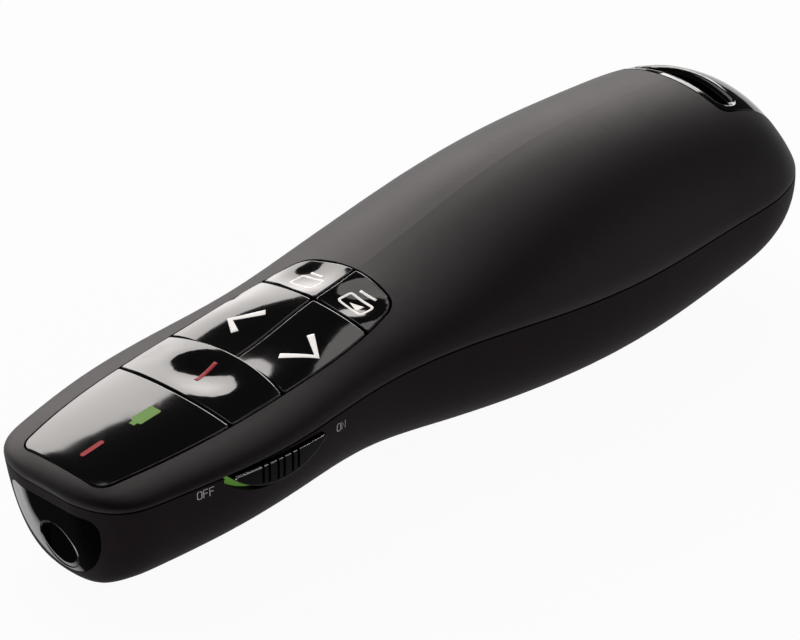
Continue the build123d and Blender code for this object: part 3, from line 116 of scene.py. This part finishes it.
def moulded(name, color, rough, rough_spread=0.06, grain=4000.0, bump=0.05, bump_mm=0.02, shade=0.12,
            specular=0.5, ior=1.5, sheen_tint=(1, 1, 1), coat=0.0, painted_glow=0.0):
    """A moulded or coated finish, whose colour and roughness wander a little and whose grain is a bump.

    The grain is counted per metre, and a bump of bump_mm is shown at the strength of bump. A glow above
    nought makes the finish give off its own colour as light at that strength: painted light, for parts
    that are no lamp.
    """
    material, shader, nodes, links = blank_material(name)
    place = nodes.new("ShaderNodeTexCoord")
    speckle = nodes.new("ShaderNodeGroup")
    speckle.node_tree = SPECKLE
    speckle.inputs["Grain per metre"].default_value = grain
    links.new(place.outputs["Object"], speckle.inputs["Vector"])
    tint = nodes.new("ShaderNodeMix")
    tint.data_type = "RGBA"
    tint.inputs["A"].default_value = (*[c * (1 - shade) for c in color], 1)
    tint.inputs["B"].default_value = (*[c * (1 + shade) for c in color], 1)
    links.new(speckle.outputs["Mask"], tint.inputs["Factor"])
    links.new(tint.outputs["Result"], shader.inputs["Base Color"])
    spread = nodes.new("ShaderNodeMapRange")
    spread.inputs["To Min"].default_value = max(rough - rough_spread, SMOOTHEST)
    spread.inputs["To Max"].default_value = rough + rough_spread
    links.new(speckle.outputs["Mask"], spread.inputs["Value"])
    links.new(spread.outputs["Result"], shader.inputs["Roughness"])
    height = nodes.new("ShaderNodeBump")
    height.inputs["Strength"].default_value = bump
    height.inputs["Distance"].default_value = bump_mm * MM
    links.new(speckle.outputs["Height"], height.inputs["Height"])
    links.new(height.outputs["Normal"], shader.inputs["Normal"])
    shader.inputs["Specular IOR Level"].default_value = specular
    shader.inputs["IOR"].default_value = ior
    shader.inputs["Specular Tint"].default_value = (*sheen_tint, 1)
    shader.inputs["Coat Weight"].default_value = coat
    shader.inputs["Coat Roughness"].default_value = 0.03
    # painted glow: the finish's own colour is given off as light, though the part is no lamp
    if painted_glow:
        shader.inputs["Emission Color"].default_value = (*color, 1)
        shader.inputs["Emission Strength"].default_value = painted_glow
    return material


def metal(name, color, rough):
    """A plated or turned metal part."""
    material = moulded(name, color, rough, rough_spread=0.08, grain=1500.0, bump=0.08, bump_mm=0.01)
    material.node_tree.nodes["Principled BSDF"].inputs["Metallic"].default_value = 1.0
    return material


def edge_blend(material, socket, face_on, edge_on, start, end):
    """Blends one of a finish's values from where it faces the eye to where it is seen edge-on."""
    nodes, links = material.node_tree.nodes, material.node_tree.links
    view = nodes.new("ShaderNodeLayerWeight")
    rise = nodes.new("ShaderNodeMapRange")
    rise.inputs["From Min"].default_value = start
    rise.inputs["From Max"].default_value = end
    rise.inputs["To Min"].default_value = face_on
    rise.inputs["To Max"].default_value = edge_on
    links.new(view.outputs["Facing"], rise.inputs["Value"])
    links.new(rise.outputs["Result"], nodes["Principled BSDF"].inputs[socket])
    return material


def clear(name, tint):
    """A clear, smooth window or lens."""
    material, shader, _, _ = blank_material(name)
    shader.inputs["Base Color"].default_value = (*tint, 1)
    shader.inputs["Roughness"].default_value = 0.02
    shader.inputs["Transmission Weight"].default_value = 1.0
    shader.inputs["IOR"].default_value = 1.5
    return material


SOFT_GRAIN = {"rough_spread": 0.03, "grain": 5200.0, "bump": 0.12, "bump_mm": 0.03}
GLOSS_GRAIN = {"rough_spread": 0.01, "grain": 300.0, "bump": 0.0}
FINISHES = {
    "soft_touch_shell": moulded("soft_touch", (0.0030, 0.0024, 0.0028), 0.56, specular=0.36,
                                sheen_tint=(1.0, 0.90, 0.96), **SOFT_GRAIN),
    "gloss_black": moulded("gloss_black", (0.0026, 0.0023, 0.0024), 0.065, **GLOSS_GRAIN),
    "slider_black": edge_blend(
        moulded("slider_satin", (0.003, 0.0026, 0.0028), 0.16, rough_spread=0.04, grain=3000.0),
        "IOR", face_on=3.2, edge_on=1.12, start=0.20, end=0.25),
    # painted glow: the green strip gives off light in its own colour, which lifts it out of the shade of
    # its pocket; the red and green lenses glow faintly in their colours too
    "green_strip": moulded("on_green", (0.115, 0.27, 0.045), 0.5, specular=0.2, painted_glow=0.5),
    "red_lens": moulded("laser_red", (0.40, 0.018, 0.028), 0.35, specular=0.1, painted_glow=0.2),
    "green_lens": moulded("battery_green", (0.145, 0.31, 0.05), 0.35, specular=0.1, painted_glow=0.2),
    "clear_window": clear("clear_window", (0.95, 0.97, 1.0)),
    "inner_plastic": moulded("inner_plastic", (0.03, 0.03, 0.03), 0.45),
    "circuit_board": moulded("solder_mask", (0.01, 0.10, 0.035), 0.3, coat=0.3),
    "component_black": moulded("component_black", (0.012, 0.012, 0.013), 0.5),
    "switch_tan": moulded("switch_tan", (0.35, 0.27, 0.18), 0.5),
    "steel": metal("plated_steel", (0.56, 0.56, 0.58), 0.28),
    "brass": metal("turned_brass", (0.75, 0.56, 0.24), 0.22),
    "cell_wrap": moulded("cell_wrap", (0.05, 0.11, 0.2), 0.3, coat=0.5),
    "led_body": moulded("led_body", (0.8, 0.78, 0.66), 0.25),
    "white_plastic": moulded("white_plastic", (0.75, 0.75, 0.73), 0.45),
}
# painted light: the bottom shell and battery door wear the top shell's soft-touch coat about nine times
# lighter, so that the flanks look lit; its low specular keeps the floor's reflection weak on them
PAINTED_LIGHT_UNDER_FINISH = moulded("soft_touch_under_painted_light", (0.027, 0.021, 0.025), 0.6, specular=0.04,
                       sheen_tint=(1.0, 0.88, 0.91), **SOFT_GRAIN)
NODE_FINISHES = {
    "nose_panel": edge_blend(moulded("nose_gloss", (0.0012, 0.0011, 0.0011), 0.05, **GLOSS_GRAIN),
                             "IOR", face_on=1.03, edge_on=3.0, start=0.60, end=0.70),
    "bottom_shell": PAINTED_LIGHT_UNDER_FINISH,
    "battery_door": PAINTED_LIGHT_UNDER_FINISH,
    # painted shade: the laser's window is opaque and near-black rather than clear, standing in for the
    # dark bore behind it
    "laser_aperture_window": moulded("painted_shade_aperture", (0.0012, 0.0008, 0.0008), 0.1, ior=1.03),
}
BEAD_FINISH = edge_blend(
    moulded("bead_gloss", (0.002, 0.0018, 0.0018), 0.14, rough_spread=0.02, grain=300.0, bump=0.0),
    "IOR", face_on=4.5, edge_on=1.12, start=0.24, end=0.3)
# printed inks with painted glow: the signs and words are real print, and their colour is also given off
# as light so that they stay bright where little light reaches them
SYMBOL_INK_PAINTED_GLOW = moulded("symbol_ink_painted_glow", (0.82, 0.80, 0.78), 0.5, specular=0.1, painted_glow=0.5)
LETTER_INK_PAINTED_GLOW = moulded("letter_ink_painted_glow", (0.48, 0.47, 0.46), 0.5, specular=0.1, painted_glow=0.2)
LASER_INK_PAINTED_GLOW = moulded("laser_ink_painted_glow", (0.38, 0.018, 0.03), 0.4, specular=0.1, painted_glow=0.15)


def finish_nodes():
    """Every CAD node gets a finish of its own or that of its material slot."""
    for entry in frame["record"]["subparts"]:
        mesh = frame["nodes"][entry["node"]].data
        mesh.materials.clear()
        mesh.materials.append(NODE_FINISHES.get(entry["node"], FINISHES[entry["material_slot"]]))


# ---------------------------------------------------------------- printed signs and words
PRINT_THICKNESS = 0.03 * MM
PRINT_STEP = 0.35 * MM       # edges longer than this are split, so that a print follows its surface
PRINT_SPLITS = 4             # at most this many times
WELD = 0.001 * MM            # corners closer than this become one
FAR_OFF = 100 * MM           # well outside the object, where rays towards it start


def new_object(name, mesh, ink):
    """An object at the origin, whose mesh holds its place."""
    mesh.materials.clear()
    mesh.materials.append(ink)
    made = bpy.data.objects.new(name, mesh)
    bpy.context.scene.collection.objects.link(made)
    return made


def stroke_mesh(lines, width):
    """Round strokes along lines of points in millimetres; a line whose ends meet is closed."""
    curve = bpy.data.curves.new("stroke", "CURVE")
    curve.dimensions = "3D"
    curve.bevel_depth = width / 2 * MM
    curve.bevel_resolution = 3
    curve.use_fill_caps = True
    for line in lines:
        closed = line[0] == line[-1]
        points = line[:-1] if closed else line
        spline = curve.splines.new("POLY")
        spline.points.add(len(points) - 1)
        for point, (x, y) in zip(spline.points, points):
            point.co = (x * MM, y * MM, 0.0, 1.0)
        spline.use_cyclic_u = closed
    holder = bpy.data.objects.new("stroke", curve)
    bpy.context.scene.collection.objects.link(holder)
    mesh = bpy.data.meshes.new_from_object(holder.evaluated_get(bpy.context.evaluated_depsgraph_get()))
    bpy.data.objects.remove(holder)
    bpy.data.curves.remove(curve)
    return mesh


def patch_mesh(corners, width):
    """A flat patch between corners in millimetres, as thick as a stroke of that width."""
    shape = bmesh.new()
    rim = [shape.verts.new((x * MM, y * MM, -width / 2 * MM)) for x, y in corners]
    face = bmesh.ops.contextual_create(shape, geom=rim)["faces"][0]
    raised = bmesh.ops.extrude_face_region(shape, geom=[face])["geom"]
    top = [part for part in raised if isinstance(part, bmesh.types.BMVert)]
    bmesh.ops.translate(shape, verts=top, vec=(0, 0, width * MM))
    bmesh.ops.triangulate(shape, faces=shape.faces)
    mesh = bpy.data.meshes.new("patch")
    shape.to_mesh(mesh)
    shape.free()
    return mesh


def lay_on(mesh, node, width, on_side=False):
    """Flattens a print and lays it on a CAD surface, from above or from the slider's side."""
    shape = bmesh.new()
    shape.from_mesh(mesh)
    bmesh.ops.remove_doubles(shape, verts=shape.verts, dist=WELD)
    for _ in range(PRINT_SPLITS):
        long_edges = [edge for edge in shape.edges if edge.calc_length() > PRINT_STEP]
        if not long_edges:
            break
        bmesh.ops.subdivide_edges(shape, edges=long_edges, cuts=1)
    bmesh.ops.triangulate(shape, faces=[face for face in shape.faces if len(face.verts) > 4])
    surface = BVHTree.FromObject(frame["nodes"][node], bpy.context.evaluated_depsgraph_get())
    for vertex in shape.verts:
        lift = vertex.co.z / (width / 2 * MM) * PRINT_THICKNESS
        if on_side:
            hit = surface.ray_cast(Vector((vertex.co.x, -FAR_OFF, vertex.co.y)), Vector((0, 1, 0)))[0]
            vertex.co = (hit.x, hit.y - lift, hit.z)
        else:
            hit = surface.ray_cast(Vector((vertex.co.x, vertex.co.y, FAR_OFF)), Vector((0, 0, -1)))[0]
            vertex.co = (hit.x, hit.y, hit.z + lift)
    bmesh.ops.recalc_face_normals(shape, faces=shape.faces)
    shape.to_mesh(mesh)
    shape.free()
    return mesh


def print_on(name, mesh, node, body, width, ink, on_side=False):
    """Lays a print on a CAD node and lets it ride on the body of that node."""
    made = new_object(name, lay_on(mesh, node, width, on_side), ink)
    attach(made, body)


def rounded_loop(corners, radius, steps=3):
    """A closed line round some corners, each rounded over that distance to both sides."""
    line = []
    count = len(corners)
    for i, corner in enumerate(corners):
        here = Vector(corner)
        before = (Vector(corners[i - 1]) - here).normalized() * radius
        after = (Vector(corners[(i + 1) % count]) - here).normalized() * radius
        for k in range(steps + 1):
            t = k / steps
            line.append(tuple(here + before * (1 - t) ** 2 + after * t ** 2))
    return line + [line[0]]


# Points of the signs on the keys in millimetres: along the body, and away from the slider.
LASER_LINE = [(-34.05, 0.06), (-30.4, 0.56)]
NEXT_ARROW = [(-20.0, 3.28), (-23.2, 6.17), (-24.5, 3.83)]
PREVIOUS_ARROW = [(-20.0, -4.7), (-22.2, -8.2), (-24.7, -4.3)]
BLANK_SCREEN = [(-13.9, 5.72), (-11.82, 5.52), (-11.69, 1.88), (-13.77, 2.09)]
BLANK_SCREEN_BAR = [(-10.98, 4.96), (-11.05, 2.67)]
SLIDE = [(-13.31, -2.31), (-11.34, -2.52), (-11.57, -6.68), (-13.58, -6.5)]
SLIDE_BAR = [(-10.47, -3.21), (-10.46, -5.95)]
SLIDE_TRIANGLE = [(-12.65, -3.65), (-13.3, -5.49), (-12.12, -5.58)]
SCREEN_CORNER = 0.45
LINE_WIDTH = 0.62
ARROW_WIDTH = 0.92
SIGN_WIDTH = 0.34

LETTER_HEIGHT = 1.05
LETTER_WIDTH = 0.58
LETTER_PITCH = 0.8
LETTER_STROKE = 0.12
O_ROUNDING = 0.55 * LETTER_WIDTH
F_BAR_HEIGHT = 0.52 * LETTER_HEIGHT
F_BAR_LENGTH = 0.85 * LETTER_WIDTH
OFF_AT = (-45.13, 12.51)     # middle of the word along the body and in height
ON_AT = (-24.85, 12.86)


def letter(character, left, foot):
    """The strokes of one plain letter O, N or F, from its lower left corner."""
    right, head, bar = left + LETTER_WIDTH, foot + LETTER_HEIGHT, foot + F_BAR_HEIGHT
    if character == "O":
        corners = [(left, foot), (right, foot), (right, head), (left, head)]
        return [rounded_loop(corners, O_ROUNDING, 5)]
    if character == "N":
        return [[(left, foot), (left, head), (right, foot), (right, head)]]
    return [[(left, foot), (left, head), (right, head)], [(left, bar), (left + F_BAR_LENGTH, bar)]]


def word(text, place):
    """The strokes of a word round its middle."""
    left = place[0] - ((len(text) - 1) * LETTER_PITCH + LETTER_WIDTH) / 2
    foot = place[1] - LETTER_HEIGHT / 2
    lines = []
    for i, character in enumerate(text):
        lines += letter(character, left + i * LETTER_PITCH, foot)
    return lines


def print_signs():
    """The signs on the keys and the two words beside the slider."""
    print_on("laser_line", stroke_mesh([LASER_LINE], LINE_WIDTH), "laser_button", "laser_key", LINE_WIDTH,
             LASER_INK_PAINTED_GLOW)
    signs = (
        ("next_arrow", [NEXT_ARROW], ARROW_WIDTH, "next_button", "next_key"),
        ("previous_arrow", [PREVIOUS_ARROW], ARROW_WIDTH, "previous_button", "previous_key"),
        ("blank_screen_sign", [rounded_loop(BLANK_SCREEN, SCREEN_CORNER), BLANK_SCREEN_BAR], SIGN_WIDTH,
         "blank_screen_button", "blank_screen_key"),
        ("slideshow_sign", [rounded_loop(SLIDE, SCREEN_CORNER), SLIDE_BAR], SIGN_WIDTH,
         "slideshow_button", "slideshow_key"),
    )
    for name, lines, width, node, body in signs:
        print_on(name, stroke_mesh(lines, width), node, body, width, SYMBOL_INK_PAINTED_GLOW)
    print_on("slideshow_triangle", patch_mesh(SLIDE_TRIANGLE, SIGN_WIDTH), "slideshow_button",
             "slideshow_key", SIGN_WIDTH, SYMBOL_INK_PAINTED_GLOW)
    for name, text, place in (("off_lettering", "OFF", OFF_AT), ("on_lettering", "ON", ON_AT)):
        print_on(name, stroke_mesh(word(text, place), LETTER_STROKE), "bottom_shell", "housing",
                 LETTER_STROKE, LETTER_INK_PAINTED_GLOW, on_side=True)


# ---------------------------------------------------------------- laser mouth
MOUTH_HEIGHT = 4.9           # of the laser's axis above the foot, in millimetres as the bead
BEAD_RADIUS = 3.24
BEAD_WIDTH = 0.2
BEAD_STEPS = 72


def bead_round_mouth():
    """A fine bead on the raked nose, round the mouth that the laser shines out of."""
    turns = [2 * math.pi * i / BEAD_STEPS for i in range(BEAD_STEPS)]
    circle = [(BEAD_RADIUS * math.cos(turn), BEAD_RADIUS * math.sin(turn)) for turn in turns]
    mesh = stroke_mesh([circle + circle[:1]], BEAD_WIDTH)
    surface = BVHTree.FromObject(frame["nodes"]["nose_panel"], bpy.context.evaluated_depsgraph_get())
    shape = bmesh.new()
    shape.from_mesh(mesh)
    for vertex in shape.verts:
        side, height = vertex.co.x, vertex.co.y + MOUTH_HEIGHT * MM
        hit = surface.ray_cast(Vector((-FAR_OFF, side, height)), Vector((1, 0, 0)))[0]
        vertex.co = (hit.x - vertex.co.z, side, height)
    bmesh.ops.remove_doubles(shape, verts=shape.verts, dist=WELD)
    bmesh.ops.recalc_face_normals(shape, faces=shape.faces)
    for face in shape.faces:
        face.smooth = True
    shape.to_mesh(mesh)
    shape.free()
    bead = new_object("laser_mouth_bead", mesh, BEAD_FINISH)
    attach(bead, "housing")


# ---------------------------------------------------------------- studio
def softbox(name, azimuth, elevation, distance, width, height, strength, tint=(1, 1, 1)):
    """A soft area lamp that faces the object from a direction, in degrees."""
    lamp = bpy.data.lights.new(name, "AREA")
    lamp.color = tint
    lamp.shape = "RECTANGLE"
    lamp.size = width
    lamp.size_y = height
    lamp.energy = strength * math.pi * width * height
    holder = bpy.data.objects.new(name, lamp)
    a, e = math.radians(azimuth), math.radians(elevation)
    back = Vector((math.cos(a) * math.cos(e), math.sin(a) * math.cos(e), math.sin(e)))
    holder.location = back * distance
    holder.rotation_mode = "QUATERNION"
    holder.rotation_quaternion = back.to_track_quat("Z", "Y")
    holder.visible_camera = False
    bpy.context.scene.collection.objects.link(holder)


FLOOR_REACH = 6.0            # metres from its middle to an edge
FLOOR_GLOW = 0.95            # share of the floor's colour that is plain white rather than lit
WORLD_GLOW = 0.04
WARM_WHITE = (1.0, 0.96, 0.935)


def floor_material():
    """White to the eye and in reflections, apart from the share that takes the object's shadow."""
    material, shader, nodes, links = blank_material("floor")
    shader.inputs["Base Color"].default_value = (0.86, 0.86, 0.86, 1)
    shader.inputs["Roughness"].default_value = 0.9
    shader.inputs["Specular IOR Level"].default_value = 0.1
    glow = nodes.new("ShaderNodeEmission")
    glow.inputs["Strength"].default_value = 1.0
    mix = nodes.new("ShaderNodeMixShader")
    path = nodes.new("ShaderNodeLightPath")
    share = nodes.new("ShaderNodeMath")
    share.operation = "MULTIPLY"
    share.inputs[1].default_value = FLOOR_GLOW
    seen = nodes.new("ShaderNodeMath")
    seen.operation = "MAXIMUM"
    mirrored = nodes.new("ShaderNodeMath")
    mirrored.operation = "MAXIMUM"
    links.new(path.outputs["Is Glossy Ray"], mirrored.inputs[0])
    links.new(path.outputs["Is Transmission Ray"], mirrored.inputs[1])
    links.new(path.outputs["Is Camera Ray"], seen.inputs[0])
    links.new(mirrored.outputs["Value"], seen.inputs[1])
    links.new(seen.outputs["Value"], share.inputs[0])
    links.new(share.outputs["Value"], mix.inputs["Fac"])
    links.new(shader.outputs["BSDF"], mix.inputs[1])
    links.new(glow.outputs["Emission"], mix.inputs[2])
    links.new(mix.outputs["Shader"], nodes["Material Output"].inputs["Surface"])
    return material


def studio():
    """A white floor, a dim world and three soft lamps."""
    scene = bpy.context.scene
    scene.view_settings.view_transform = "Standard"
    shape = bmesh.new()
    bmesh.ops.create_grid(shape, x_segments=1, y_segments=1, size=FLOOR_REACH)
    mesh = bpy.data.meshes.new("floor")
    shape.to_mesh(mesh)
    shape.free()
    floor = bpy.data.objects.new("floor", mesh)
    scene.collection.objects.link(floor)
    mesh.materials.append(floor_material())

    world = bpy.data.worlds.new("studio")
    scene.world = world
    world.use_nodes = True
    sky = world.node_tree.nodes["Background"]
    sky.inputs["Color"].default_value = (1, 1, 1, 1)
    sky.inputs["Strength"].default_value = WORLD_GLOW

    softbox("back_softbox", azimuth=66, elevation=25.5, distance=2.0, width=3.0, height=0.9, strength=6.0,
            tint=WARM_WHITE)
    softbox("upper_softbox", azimuth=50, elevation=68, distance=2.2, width=1.7, height=0.95, strength=2.1,
            tint=WARM_WHITE)
    softbox("side_strip", azimuth=-46, elevation=27, distance=2.0, width=1.6, height=0.12, strength=7.0)


place_camera()
finish_nodes()
print_signs()
bead_round_mouth()
studio()
